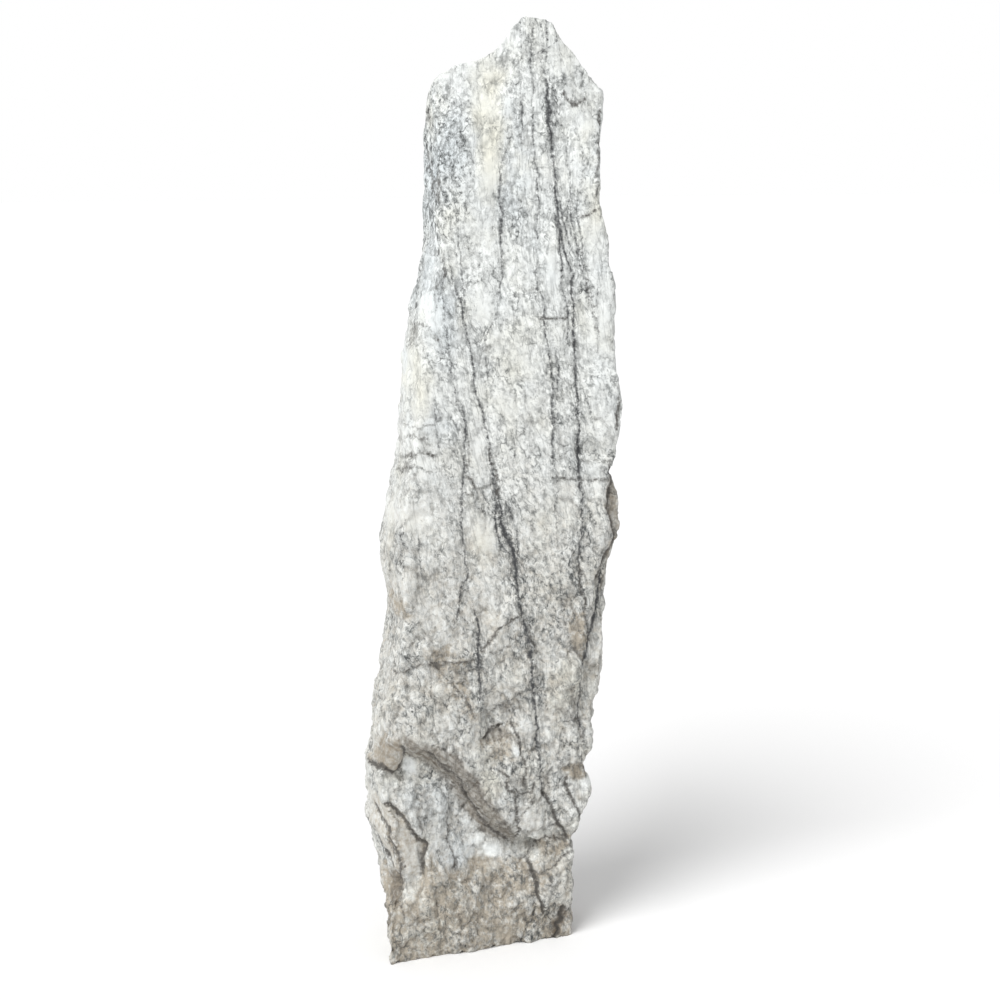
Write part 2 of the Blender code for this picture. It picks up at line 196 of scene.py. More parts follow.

# Dark lines of the front: how dark each is, then its (across, height) points. Most are cracks; those
# marked below are painted shadow along the edges of flakes and round the knob.
DARK_LINES = (
    (0.6, ((-0.158, 1.156), (-0.151, 1.177), (-0.148, 1.200), (-0.141, 1.208), (-0.125, 1.196),
      (-0.113, 1.178))),
    (0.5, ((-0.116, 1.323), (-0.106, 1.337), (-0.100, 1.327), (-0.100, 1.289), (-0.121, 1.267))),
    (0.8, ((0.072, 1.213), (0.123, 1.213))),
    (0.5, ((0.150, 1.338), (0.161, 1.286), (0.168, 1.245), (0.177, 1.231), (0.178, 1.176))),
    (0.6, ((-0.059, 0.989), (-0.056, 0.958), (-0.062, 0.939))),
    (0.7, ((-0.024, 0.981), (-0.006, 0.932), (-0.004, 0.887))),
    (0.7, ((0.097, 0.920), (0.150, 0.914), (0.203, 0.915))),
    (0.5, ((0.156, 0.947), (0.221, 0.945))),
    (0.9, ((0.208, 0.935), (0.211, 0.910), (0.205, 0.873), (0.202, 0.851), (0.215, 0.823),
      (0.219, 0.793), (0.198, 0.758), (0.187, 0.724))),
    (0.8, ((0.152, 0.748), (0.153, 0.698), (0.162, 0.684), (0.162, 0.661), (0.171, 0.623),
      (0.174, 0.597))),
    (0.9, ((0.029, 0.658), (-0.006, 0.638), (-0.017, 0.621), (-0.039, 0.598))),
    (0.6, ((0.025, 0.612), (0.002, 0.600), (-0.023, 0.593))),
    (0.6, ((-0.077, 0.681), (-0.072, 0.660), (-0.051, 0.653))),
    (0.7, ((-0.199, 0.561), (-0.173, 0.568), (-0.153, 0.576), (-0.108, 0.580), (-0.053, 0.578))),
    (0.7, ((-0.135, 0.588), (-0.098, 0.543), (-0.066, 0.509), (-0.047, 0.462))),
    (0.5, ((-0.066, 0.509), (-0.083, 0.465), (-0.100, 0.437))),
    (0.5, ((0.030, 0.504), (0.005, 0.484), (-0.016, 0.475))),
    (0.7, ((0.029, 0.658), (0.040, 0.657), (0.052, 0.647), (0.059, 0.616), (0.071, 0.590))),
    (0.5, ((0.063, 0.579), (0.077, 0.499))),
    (0.6, ((0.134, 0.609), (0.163, 0.559))),
    (0.5, ((0.121, 0.679), (0.126, 0.628), (0.134, 0.609))),
    (0.5, ((-0.010, 0.721), (-0.007, 0.662))),
    (0.5, ((0.004, 0.729), (0.030, 0.728))),
    (0.5, ((-0.104, 0.427), (-0.092, 0.450), (-0.078, 0.461))),
    (0.9, ((-0.027, 0.426), (-0.012, 0.441), (-0.001, 0.445), (0.002, 0.430))),
    (0.8, ((0.020, 0.452), (0.039, 0.414), (0.042, 0.385), (0.052, 0.363), (0.046, 0.329))),
    (0.8, ((-0.004, 0.361), (0.014, 0.348), (0.014, 0.324), (0.034, 0.308), (0.062, 0.309),
      (0.066, 0.331))),
    (0.9, ((0.028, 0.315), (0.035, 0.256), (0.042, 0.207))),
    (0.6, ((0.072, 0.305), (0.041, 0.260))),
    (1.0, ((0.083, 0.314), (0.105, 0.272), (0.116, 0.246), (0.142, 0.200))),
    (1.0, ((0.131, 0.331), (0.134, 0.307), (0.151, 0.274), (0.162, 0.248))),
    (0.4, ((0.117, 0.421), (0.114, 0.380), (0.131, 0.335))),
    (0.6, ((0.168, 0.402), (0.174, 0.323))),
    (0.6, ((-0.136, 0.423), (-0.092, 0.407), (-0.078, 0.389), (-0.065, 0.362), (-0.045, 0.340),
      (-0.033, 0.305), (0.000, 0.271), (0.030, 0.221))),
    (0.7, ((-0.103, 0.277), (-0.097, 0.247), (-0.099, 0.223), (-0.088, 0.197), (-0.085, 0.169))),
    (0.5, ((-0.133, 0.283), (-0.130, 0.252), (-0.140, 0.225))),
    (0.5, ((-0.072, 0.277), (-0.076, 0.241), (-0.069, 0.211))),
    (0.5, ((-0.080, 0.150), (-0.062, 0.138), (-0.049, 0.148))),
    (0.3, ((-0.123, 0.128), (-0.095, 0.114), (-0.072, 0.123))),
    (0.4, ((-0.080, 0.097), (-0.080, 0.026))),
    (0.5, ((-0.043, 0.080), (-0.042, 0.031))),
    (0.6, ((-0.193, 0.166), (-0.192, 0.113), (-0.187, 0.085))),
    # Painted shadow under the edges of the three flakes low on the left, over their grooves
    (0.9, ((-0.225, 0.286), (-0.218, 0.270), (-0.209, 0.259), (-0.208, 0.238), (-0.197, 0.213),
      (-0.189, 0.187), (-0.193, 0.162))),
    (1.0, ((-0.216, 0.312), (-0.205, 0.302), (-0.186, 0.280), (-0.168, 0.253), (-0.156, 0.229),
      (-0.140, 0.223), (-0.150, 0.196), (-0.151, 0.165))),
    (0.9, ((-0.235, 0.241), (-0.222, 0.220), (-0.210, 0.198), (-0.200, 0.181), (-0.192, 0.154))),
    # Painted shadow round the lower right edge of the knob
    (1.1, ((-0.188, 0.426), (-0.182, 0.405), (-0.189, 0.380), (-0.202, 0.367), (-0.219, 0.380),
      (-0.228, 0.372), (-0.236, 0.364))),
    (0.5, ((-0.187, 0.375), (-0.190, 0.345), (-0.204, 0.329))),
    (0.5, ((-0.182, 0.403), (-0.147, 0.383), (-0.116, 0.359), (-0.093, 0.327), (-0.073, 0.292),
      (-0.039, 0.240), (0.001, 0.208), (0.045, 0.190))),
    (0.8, ((-0.149, 0.414), (-0.110, 0.379), (-0.077, 0.347), (-0.059, 0.300), (-0.035, 0.263),
      (-0.007, 0.230), (0.029, 0.198))),
    (0.7, ((0.062, 0.174), (0.081, 0.199), (0.101, 0.209), (0.127, 0.198), (0.152, 0.195))),
    (0.7, ((0.082, 0.138), (0.107, 0.147), (0.120, 0.161), (0.146, 0.173))),
    (1.1, ((0.061, 0.168), (0.069, 0.142), (0.076, 0.123), (0.078, 0.095), (0.094, 0.056))),
    (1.3, ((0.131, 0.063), (0.125, 0.051), (0.130, 0.038), (0.118, 0.027), (0.124, 0.015),
      (0.112, 0.002))),
    (0.6, ((-0.166, 1.014), (-0.148, 1.020), (-0.120, 1.026))),
    (0.6, ((-0.170, 0.986), (-0.156, 1.003), (-0.133, 0.997))),
    (0.7, ((-0.171, 0.954), (-0.152, 0.976), (-0.119, 0.967))),
    (0.7, ((-0.177, 0.931), (-0.158, 0.950), (-0.130, 0.938))),
    (0.6, ((0.189, 1.550), (0.184, 1.514), (0.182, 1.475), (0.179, 1.435))),
    (0.4, ((0.171, 1.153), (0.195, 1.140), (0.211, 1.134))),
    (0.9, ((0.225, 1.064), (0.221, 1.039), (0.217, 1.005))),
    (0.9, ((0.194, 1.582), (0.189, 1.567), (0.195, 1.555))),
    (0.8, ((0.155, 1.395), (0.168, 1.401), (0.181, 1.411))),
    (0.7, ((-0.131, 1.606), (-0.117, 1.585), (-0.118, 1.564))),
    (0.7, ((-0.119, 1.514), (-0.115, 1.487), (-0.109, 1.458), (-0.108, 1.427))),
    (0.8, ((0.119, 1.615), (0.132, 1.599), (0.147, 1.594), (0.161, 1.605))),
    (0.6, ((0.086, 0.072), (0.111, 0.044), (0.136, 0.049), (0.146, 0.060))),
    (0.7, ((-0.065, 0.928), (-0.054, 0.921), (-0.047, 0.906), (-0.053, 0.889), (-0.064, 0.897))),
    (0.6, ((0.151, 0.577), (0.136, 0.592), (0.127, 0.579), (0.138, 0.561), (0.155, 0.543))),
)
# Patches of the front: how far each stands out, how strongly each kind coats it, its outline.
# The grime and stain coats are dirt on most patches, and painted shade on the ones marked so.
PATCHES = (
    (0.0, {"stain_and_shade": 0.64}, ((-0.151, 0.179), (-0.136, 0.197), (-0.116, 0.174), (-0.086, 0.160),
      (-0.068, 0.169), (-0.039, 0.183), (0.011, 0.173), (0.047, 0.166), (0.060, 0.160), (0.068, 0.129),
      (0.082, 0.088), (0.103, 0.046), (0.158, 0.051), (0.158, -0.004), (-0.233, -0.053),
      (-0.232, 0.079), (-0.192, 0.113), (-0.156, 0.138))),
    # The scarp face across the lower third: grime, and painted shade on a face turned down from the
    # light
    (0.0, {"grime_and_shade": 0.62}, ((-0.189, 0.450), (-0.134, 0.421), (-0.084, 0.398), (-0.043, 0.350),
      (-0.024, 0.310), (0.012, 0.258), (0.055, 0.190), (0.001, 0.210), (-0.039, 0.240), (-0.069, 0.283),
      (-0.093, 0.327), (-0.116, 0.359), (-0.147, 0.383), (-0.184, 0.403))),
    (0.004, {"bare": 0.8, "stain_and_shade": 1.0, "grime_and_shade": 0.35}, ((-0.230, 0.370), (-0.222, 0.410),
      (-0.213, 0.438), (-0.198, 0.440), (-0.188, 0.423), (-0.184, 0.397), (-0.191, 0.376),
      (-0.204, 0.367), (-0.218, 0.376), (-0.254, 0.384), (-0.240, 0.363))),
    (0.003, {"stain_and_shade": 0.9}, ((0.081, 0.199), (0.101, 0.209), (0.127, 0.198), (0.148, 0.213),
      (0.145, 0.187), (0.125, 0.163), (0.104, 0.159), (0.087, 0.172))),
    (0.0, {"stain_and_shade": 1.0}, ((0.126, 0.351), (0.143, 0.355), (0.167, 0.354), (0.176, 0.321),
      (0.151, 0.321), (0.135, 0.332))),
    # Painted shadow in the notch where the lower-left flake steps back
    (-0.004, {"grime_and_shade": 0.8}, ((-0.152, 0.231), (-0.138, 0.223), (-0.146, 0.200), (-0.152, 0.177))),
    # Painted shade in the hole low on the left
    (-0.003, {"grime_and_shade": 0.6}, ((-0.206, 0.150), (-0.198, 0.176), (-0.191, 0.162), (-0.194, 0.113),
      (-0.205, 0.109), (-0.211, 0.113))),
    (0.004, {"stain_and_shade": 0.62, "bare": 1.0}, ((-0.255, 0.319), (-0.214, 0.314), (-0.184, 0.278),
      (-0.154, 0.226), (-0.159, 0.195), (-0.155, 0.160), (-0.187, 0.178), (-0.192, 0.154),
      (-0.207, 0.202), (-0.256, 0.278))),
    (0.0, {"stain_and_shade": 0.6}, ((-0.215, 0.702), (-0.188, 0.705), (-0.165, 0.690), (-0.168, 0.672),
      (-0.186, 0.664), (-0.215, 0.679))),
    (0.0, {"stain_and_shade": 0.8}, ((0.132, 0.653), (0.160, 0.661), (0.170, 0.602), (0.163, 0.563),
      (0.138, 0.603))),
    (0.0, {"stain_and_shade": 0.45}, ((-0.144, 0.603), (-0.107, 0.613), (-0.075, 0.594), (-0.058, 0.574),
      (-0.086, 0.559), (-0.137, 0.570))),
    (0.0, {"grime_and_shade": 0.5}, ((-0.023, 0.428), (-0.012, 0.439), (0.011, 0.443), (0.023, 0.423),
      (0.001, 0.414))),
    (0.0, {"stain_and_shade": 0.5}, ((-0.043, 0.421), (0.019, 0.423), (0.028, 0.380), (-0.018, 0.380))),
    (0.0, {"fresh": 1.0}, ((-0.183, 0.390), (-0.169, 0.393), (-0.156, 0.380), (-0.158, 0.362),
      (-0.176, 0.356), (-0.185, 0.369))),
    (0.0, {"fresh": 1.0}, ((-0.027, 0.205), (0.007, 0.201), (0.007, 0.181), (-0.023, 0.181))),
    (0.0, {"fresh": 0.9}, ((-0.043, 0.228), (-0.027, 0.222), (-0.029, 0.208), (-0.043, 0.214))),
    (0.0, {"fresh": 1.0}, ((0.025, 0.409), (0.038, 0.402), (0.042, 0.387), (0.026, 0.388))),
    (0.0, {"fresh": 0.9}, ((0.162, 0.318), (0.187, 0.333), (0.187, 0.309), (0.165, 0.297))),
    (0.0, {"stain_and_shade": 0.6}, ((-0.231, 0.159), (-0.198, 0.167), (-0.190, 0.167), (-0.192, 0.113),
      (-0.197, 0.090), (-0.222, 0.048))),
    # The inner strip of the scarp face: grime, and painted shade
    (0.0, {"grime_and_shade": 0.6}, ((-0.143, 0.399), (-0.106, 0.380), (-0.072, 0.343), (-0.049, 0.304),
      (-0.025, 0.263), (0.018, 0.208), (-0.013, 0.222), (-0.045, 0.255), (-0.077, 0.302),
      (-0.112, 0.350))),
    (0.0, {"stain_and_shade": 0.35}, ((-0.138, 0.597), (-0.097, 0.581), (-0.043, 0.499), (-0.043, 0.455),
      (-0.074, 0.490), (-0.115, 0.542))),
    (0.0, {"cool": 0.6}, ((-0.187, 0.175), (-0.172, 0.166), (-0.166, 0.133), (-0.176, 0.125),
      (-0.188, 0.143))),
    (0.002, {"bare": 0.3}, ((0.067, 0.157), (0.143, 0.177), (0.143, 0.083), (0.102, 0.070),
      (0.082, 0.112))),
    (0.0, {"stain_and_shade": 0.35}, ((0.065, 0.160), (0.145, 0.181), (0.146, 0.059), (0.103, 0.046),
      (0.078, 0.109))),
    (-0.002, {"grime_and_shade": 0.9}, ((0.122, 0.060), (0.133, 0.067), (0.140, 0.053), (0.132, 0.040),
      (0.136, 0.030), (0.124, 0.021), (0.128, 0.008), (0.112, 0.000), (0.103, 0.012), (0.114, 0.022),
      (0.108, 0.032), (0.123, 0.042))),
    # Painted shade down the right flank, laid in the stain and grime colours
    (0.0, {"stain_and_shade": 0.6, "grime_and_shade": 0.35}, ((0.201, 0.912), (0.212, 0.915), (0.227, 0.891),
      (0.232, 0.825), (0.217, 0.758), (0.199, 0.702), (0.192, 0.697), (0.205, 0.757), (0.211, 0.816),
      (0.200, 0.865))),
    (0.0, {"cool": 0.8}, ((-0.181, 0.359), (-0.150, 0.369), (-0.112, 0.333), (-0.083, 0.289),
      (-0.053, 0.239), (-0.033, 0.206), (-0.053, 0.185), (-0.085, 0.164), (-0.116, 0.179),
      (-0.135, 0.212), (-0.138, 0.234), (-0.173, 0.285), (-0.200, 0.325))),
    (0.0, {"cream": 0.5}, ((-0.037, 0.297), (0.000, 0.283), (0.037, 0.215), (0.025, 0.201),
      (-0.014, 0.243))),
    (0.002, {"cream": 0.8}, ((-0.043, 0.362), (-0.010, 0.358), (0.009, 0.323), (-0.004, 0.298),
      (-0.029, 0.304))),
    (0.0, {"cream": 0.7}, ((0.117, 0.574), (0.145, 0.577), (0.158, 0.545), (0.161, 0.487),
      (0.125, 0.501))),
)
# How rough the break is, by height
VIGOUR = ((0.0, 1.35), (0.42, 1.25), (0.62, 0.85), (1.1, 0.7), (1.75, 0.55))
# Widths of the soft forms of the break: swellings of the face, rolls, upright ribs and folds
SWELL, ROLL, RIB, FOLD = 0.060, 0.034, 0.011, 0.013
# Sizes across, in depth and in height of the angular forms, from the largest to the smallest
LUMPS, CHIPS, SPLINTERS = (0.034, 0.034, 0.048), (0.012, 0.015, 0.026), (0.0065, 0.0065, 0.011)
# Half widths of a vein's core and of the bundle of thin layers round it, at full darkness
VEIN_WIDTH, BUNDLE_WIDTH = 0.0048, 0.019
# How far a vein wanders, how far across its sheet moves for each metre of depth, and how far
# it has moved at the front
VEIN_WANDER, SHEET_SLANT, SHEET_SHIFT = 0.016, 0.35, 0.030
# How far round a dark line its darkness is kept, and how wide and deep its groove is
CRACK_REACH, GROOVE_WIDTH, GROOVE_DEPTH = 0.0075, 0.0045, 0.0028
PATCH_EDGE = 0.006
KINDS = ("stain_and_shade", "grime_and_shade", "fresh", "cool", "cream", "bare")
# A tinted place is full within the first share of its reach, and gone past the second
TINT_EDGE = (0.2, 1.25)
# The front's marks fade out between these two depths, so they don't streak along the flanks
FRONT_FADE = (-0.010, 0.045)
# How strongly earth has stained the front, by height
SOIL_RISE = (
    (0.0, 0.46), (0.35, 0.46), (0.48, 0.56), (0.68, 0.52), (0.90, 0.27), (1.15, 0.06), (1.45, 0.0),
)
# How high earth has stained the flanks and the back, how strongly, and how its edge fades
SOIL_LINE, SOIL, SOIL_EDGE = 0.15, 0.75, (-0.03, 0.04)
# How high the chips broken out of the foot's rim and underside reach, and how high that rim is
FOOT_CHIPS, FOOT_RIM = 0.018, 0.020
# Triangles of the finished skin
TRIANGLES = 196000
# Starts the wandering noise of the break from the same place each time
SEED = 3

CAMERA_AIM = Vector((0.0155, 0.0, 0.865))
# Where the soft light comes from, how wide it is, and how far the floor reaches
LIGHT_FROM, LIGHT_SPREAD, FLOOR_REACH = Vector((-0.62, -0.60, 1.0)), math.radians(30.0), 30.0


def linear(code):
    """The linear colour of an sRGB hex code, with an alpha of 1."""
    parts = [int(code[at:at + 2], 16) / 255.0 for at in (1, 3, 5)]
    return [p / 12.92 if p <= 0.04045 else ((p + 0.055) / 1.055) ** 2.4 for p in parts] + [1.0]


class MarbleStoneSettings(bpy.types.PropertyGroup):
    """Sizes of the broken surface of the stone."""

    cell: FloatProperty(
        name="Skin Cell", description="Size of the cells of the stone's skin",
        default=0.0035, min=0.003, max=0.02, unit="LENGTH",
    )
    chip_height: FloatProperty(
        name="Chip Height", description="How far the corners of the larger chips stand out",
        default=0.0036, min=0.0, max=0.01, unit="LENGTH",
    )
    lump_height: FloatProperty(
        name="Lump Height", description="How far the lumps of the split face stand out",
        default=0.0034, min=0.0, max=0.01, unit="LENGTH",
    )
    rib_height: FloatProperty(
        name="Rib Height", description="How far the upright ribs along the layers stand out",
        default=0.0016, min=0.0, max=0.01, unit="LENGTH",
    )
    joint_depth: FloatProperty(
        name="Joint Depth", description="How deep the open joints between the lumps run",
        default=0.0021, min=0.0, max=0.01, unit="LENGTH",
    )
    grain_height: FloatProperty(
        name="Grain Height", description="Depth of the sugary grain between the crystals",
        default=0.0009, min=0.0, max=0.003, unit="LENGTH",
    )


class MarbleColourSettings(bpy.types.PropertyGroup):
    """Colours of the marble and of what has settled on it."""

    white: FloatVectorProperty(
        name="White", description="Clean calcite", subtype="COLOR", size=4,
        default=linear("#F1F4F2"), min=0.0, max=1.0,
    )
    cream: FloatVectorProperty(
        name="Cream", description="Calcite warmed by iron", subtype="COLOR", size=4,
        default=linear("#EAE9DC"), min=0.0, max=1.0,
    )
    cool: FloatVectorProperty(
        name="Cool", description="Calcite with a cool blue-green cast", subtype="COLOR", size=4,
        default=linear("#DDE4E7"), min=0.0, max=1.0,
    )
    fleck: FloatVectorProperty(
        name="Fleck", description="Graphite flecks between the grains", subtype="COLOR", size=4,
        default=linear("#4F5252"), min=0.0, max=1.0,
    )
    vein: FloatVectorProperty(
        name="Vein", description="Dark mineral of the veins", subtype="COLOR", size=4,
        default=linear("#3D3E40"), min=0.0, max=1.0,
    )
    # Earth stain, also laid as painted shade down the right flank
    stain_and_shade: FloatVectorProperty(
        name="Stain", description="Earth stain on old breaks", subtype="COLOR", size=4,
        default=linear("#B4AB9C"), min=0.0, max=1.0,
    )
    # Dust and painted shade in the open joints and the fold valleys; the dark lines take this colour too
    joint_dust_and_shade: FloatVectorProperty(
        name="Joint", description="Dust and shade in the open joints", subtype="COLOR", size=4,
        default=linear("#4E4B47"), min=0.0, max=1.0,
    )
    # Grime in the old breaks, also laid as painted shade on the scarp face, in the notch and hole low on
    # the left and down the right flank
    grime_and_shade: FloatVectorProperty(
        name="Grime", description="Dark grime in the old breaks", subtype="COLOR", size=4,
        default=linear("#6A6053"), min=0.0, max=1.0,
    )


class MarbleStageSettings(bpy.types.PropertyGroup):
    """The floor, the light and the camera."""

    distance: FloatProperty(
        name="Camera Distance", description="From the camera to the middle of the stone",
        default=3.8, min=1.0, max=10.0, unit="LENGTH",
    )
    azimuth: FloatProperty(
        name="Camera Azimuth", description="How far round to the stone's left the camera stands",
        default=math.radians(-11.0), subtype="ANGLE",
    )
    camera_height: FloatProperty(
        name="Camera Height", description="Height of the camera above the floor",
        default=1.6, min=0.1, max=5.0, unit="LENGTH",
    )
    fill: FloatProperty(
        name="Fill Light", description="Strength of the light from all round", default=0.55, min=0.0,
    )
    key: FloatProperty(
        name="Key Light", description="Strength of the soft light from above", default=2.3, min=0.0,
    )
    lens: FloatProperty(
        name="Lens", description="Focal length of the camera in millimetres",
        default=72.75, min=20.0, max=200.0,
    )


def ease(low, high, at):
    """0 below low and 1 above high, with a smooth rise between them."""
    share = min(1.0, max(0.0, (at - low) / (high - low)))
    return share * share * (3.0 - 2.0 * share)


def between(rows, at):
    """The value of a table of (place, value) rows, read between them in straight lines."""
    if at <= rows[0][0]:
        return rows[0][1]
    for low, high in zip(rows, rows[1:]):
        if at <= high[0]:
            return low[1] + (at - low[0]) / (high[0] - low[0]) * (high[1] - low[1])
    return rows[-1][1]


def broken(place, sizes, bend):
    """The rock between the joints at a place: how far its nearest joint is, and its tilt."""
    spot = Vector([at / size for at, size in zip(place, sizes)])
    spot += bend * noise.noise_vector(1.3 * spot)
    distances, middles = noise.voronoi(spot)
    slope = 2.0 * noise.cell_vector(middles[0] * 31.0) - Vector((1.0, 1.0, 1.0))
    return distances[1] - distances[0], slope.dot(spot - middles[0])


def fine_skin(node, cell):
    """A closed skin of even cells over a copy of a CAD node's mesh."""
    mesh = bmesh.new()
    mesh.from_mesh(node.data)
    bmesh.ops.remove_doubles(mesh, verts=mesh.verts, dist=1e-6)
    data = bpy.data.meshes.new("form")
    mesh.to_mesh(data)
    form = bpy.data.objects.new("form", data)
    bpy.context.scene.collection.objects.link(form)
    remesh = form.modifiers.new("even cells", "REMESH")
    remesh.mode = "VOXEL"
    remesh.voxel_size = cell
    skin = bpy.data.meshes.new_from_object(
        form.evaluated_get(bpy.context.evaluated_depsgraph_get())
    )
    bpy.data.objects.remove(form)
    mesh.clear()
    mesh.from_mesh(skin)
    bpy.data.meshes.remove(skin)
    return mesh


def gap_to(path, across, up):
    """The distance from a point of the front to a path of (across, height) points."""
    nearest = 1.0
    for (low_x, low_z), (high_x, high_z) in zip(path, path[1:]):
        run_x, run_z = high_x - low_x, high_z - low_z
        share = ((across - low_x) * run_x + (up - low_z) * run_z) / (run_x * run_x + run_z * run_z)
        share = min(1.0, max(0.0, share))
        nearest = min(nearest, math.hypot(across - low_x - share * run_x, up - low_z - share * run_z))
    return nearest


def inside(outline, across, up):
    """Whether a point of the front lies inside an outline of (across, height) points."""
    within = False
    for (low_x, low_z), (high_x, high_z) in zip(outline, outline[1:] + outline[:1]):
        if (low_z > up) != (high_z > up):
            if across < low_x + (up - low_z) / (high_z - low_z) * (high_x - low_x):
                within = not within
    return within


def boxed(points, margin):
    """The least and most across and height of some points, with a margin round them."""
    across, up = zip(*points)
    return min(across) - margin, max(across) + margin, min(up) - margin, max(up) + margin


def line_darkness(boxes, across, up):
    """How dark the lines are at a point of the front, fading over their reach: cracks, and painted
    shadow along flake edges and round the knob.
    """
    darkest = 0.0
    for (darkness, path), (low_x, high_x, low_z, high_z) in zip(DARK_LINES, boxes):
        if low_x < across < high_x and low_z < up < high_z:
            share = 1.0 - gap_to(path, across, up) / CRACK_REACH
            darkest = max(darkest, darkness * share)
    return darkest


def patch_shares(boxes, across, up):
    """How strongly each kind of patch coats a point of the front, and how far that stands out."""
    shares = dict.fromkeys(KINDS, 0.0)
    lift = 0.0
    for (out, coats, outline), (low_x, high_x, low_z, high_z) in zip(PATCHES, boxes):
        if low_x < across < high_x and low_z < up < high_z:
            gap = gap_to(outline + outline[:1], across, up)
            if inside(outline, across, up):
                gap = -gap
            share = 1.0 - ease(-PATCH_EDGE, PATCH_EDGE, gap)
            for kind, strength in coats.items():
                shares[kind] = max(shares[kind], strength * share)
            lift += out * share
    return shares, lift


def zone(places, at):
    """How strongly a group of tinted places colours a point, from 0 upwards."""
    strongest = 0.0
    for across, height, reach_across, reach_up, strength in places:
        gap = math.hypot((at.x - across) / reach_across, (at.z - height) / reach_up)
        if gap < TINT_EDGE[1]:
            strongest = max(strongest, strength * (1.0 - ease(*TINT_EDGE, gap)))
    return strongest


def kept_inside(place):
    """A place moved, where it has to be, into the CAD box."""
    return [min(max(at, least), most) for at, least, most in zip(place, *CAD_BOX)]


def relief(place, settings):
    """How far the broken surface stands out of the stone's form, and how much painted shade its joints
    and fold valleys take.
    """
    layered = Vector((place.x - between(LAYER_LEAN, place.z), place.y, place.z))
    vigour = between(VIGOUR, place.z)
    swell = noise.noise(place / SWELL)
    rolls = noise.hetero_terrain(layered / ROLL, 0.9, 2.2, 4, 0.4) - 0.6
    ribs = noise.noise(Vector((layered.x, layered.y, layered.z / 6.0)) / RIB)
    folded = min(1.0, zone(FOLDED, place))
    folds = noise.noise(Vector((place.x / 3.0, place.y / 3.0, place.z + 0.3 * place.x)) / FOLD)
    large_gap, large = broken(layered, LUMPS, 0.35)
    small_gap, small = broken(layered, CHIPS, 0.30)
    _, tiny = broken(layered, SPLINTERS, 0.25)
    opened = 0.5 + 1.6 * noise.noise(layered / 0.050 + Vector((7.0, 0.0, 0.0)))
    opened = min(1.0, max(0.0, opened))
    large_joint = max(0.0, 1.0 - large_gap / 0.22) * opened
    small_joint = max(0.0, 1.0 - small_gap / 0.36) * (0.3 + 0.5 * opened)
    out = (
        settings.lump_height * (0.6 * swell + 0.9 * rolls + 0.5 * min(1.0, large_gap / 0.5))
        + settings.chip_height * (large + 0.6 * small + 0.22 * tiny)
        + settings.rib_height * ((1.0 - folded) * ribs + 3.4 * folded * folds)
        - settings.joint_depth * (large_joint + 0.5 * small_joint)
    )
    # Painted shade in the valleys of the folds, kept with the painted shade of the open joints
    valley = folded * ease(0.02, 0.32, -folds)
    shade = max(large_joint, 0.75 * small_joint, valley)
    return vigour * out, shade * min(1.0, 0.5 + 0.5 * vigour)


def break_skin(mesh, settings):
    """Breaks the even skin into lumps, chips, joints and cracks, and keeps what colours it.

    The skin stays inside the CAD box and flat at the foot. Of each point it keeps: how far it
    stands out; how dark its lines are, cracks and painted shadow along flake edges; how much
    painted shade, with dust, its joints and fold valleys take; how grimy and stained it is, with
    painted shade laid in the grime and stain of some patches; and how fresh, cool, creamy and
    flecked its calcite is.
    """
    bmesh.ops.smooth_vert(
        mesh, verts=mesh.verts, factor=0.5, use_axis_x=True, use_axis_y=True, use_axis_z=True,
    )
    mesh.normal_update()
    noise.seed_set(SEED)
    line_boxes = [boxed(path, CRACK_REACH) for _, path in DARK_LINES]
    patch_boxes = [boxed(outline, PATCH_EDGE) for *_, outline in PATCHES]
    depth = mesh.verts.layers.float.new("relief")
    marks = mesh.verts.layers.float_color.new("marks")
    casts = mesh.verts.layers.float_color.new("casts")
    bare = mesh.verts.layers.float.new("bare")
    for point in mesh.verts:
        place = point.co.copy()
        out, joint_dust_and_shade = relief(place, settings)
        wander = noise.noise_vector(place / 0.024)
        at = place + 0.020 * noise.noise_vector(place / 0.060) + 0.006 * wander
        flecked = zone(FLECKED, at) - zone(CLEAN, at)
        front = 1.0 - ease(*FRONT_FADE, place.y + 0.6 * wander.x * PATCH_EDGE)
        dark_line = 0.0
        shares = dict.fromkeys(KINDS, 0.0)
        if front > 0.0:
            near = place + 0.0026 * wander + 0.0022 * noise.noise_vector(place / 0.009)
            dark_line = front * line_darkness(line_boxes, near.x, near.z)
            shares, lift = patch_shares(patch_boxes, near.x, near.z)
            shares = {kind: front * share for kind, share in shares.items()}
            out = out * (1.0 - 0.6 * shares["bare"]) + front * lift
            out -= GROOVE_DEPTH * max(0.0, 1.0 - (1.0 - dark_line) * CRACK_REACH / GROOVE_WIDTH)
        earth = SOIL * (1.0 - ease(*SOIL_EDGE, place.z - SOIL_LINE - 0.05 * wander.z))
        shares["stain_and_shade"] = max(shares["stain_and_shade"], (1.0 - front) * earth)
        cool = max(zone(COOL, at), shares["cool"])
        cream = max(zone(CREAMY, at), shares["cream"])
        point[depth] = out
        # The marks hold the dark lines, the painted shade of joints and fold valleys, and the grime and
        # stain, which are painted shade on some patches
        point[marks] = (dark_line, joint_dust_and_shade, shares["grime_and_shade"], shares["stain_and_shade"])
        point[casts] = (shares["fresh"], cool, cream, flecked)
        point[bare] = shares["bare"]
        foot = 1.0 - ease(0.0, FOOT_RIM, place.z)
        chipped = max(0.0, noise.noise(place / 0.022) + 0.4 * noise.noise(place / 0.009) - 0.05)
        push = point.normal * out
        push.z = push.z * (1.0 - foot) + FOOT_CHIPS * foot * chipped
        point.co += push
        if place.z < settings.cell and chipped == 0.0:
            point.co.z = 0.0
        point.co = kept_inside(point.co)


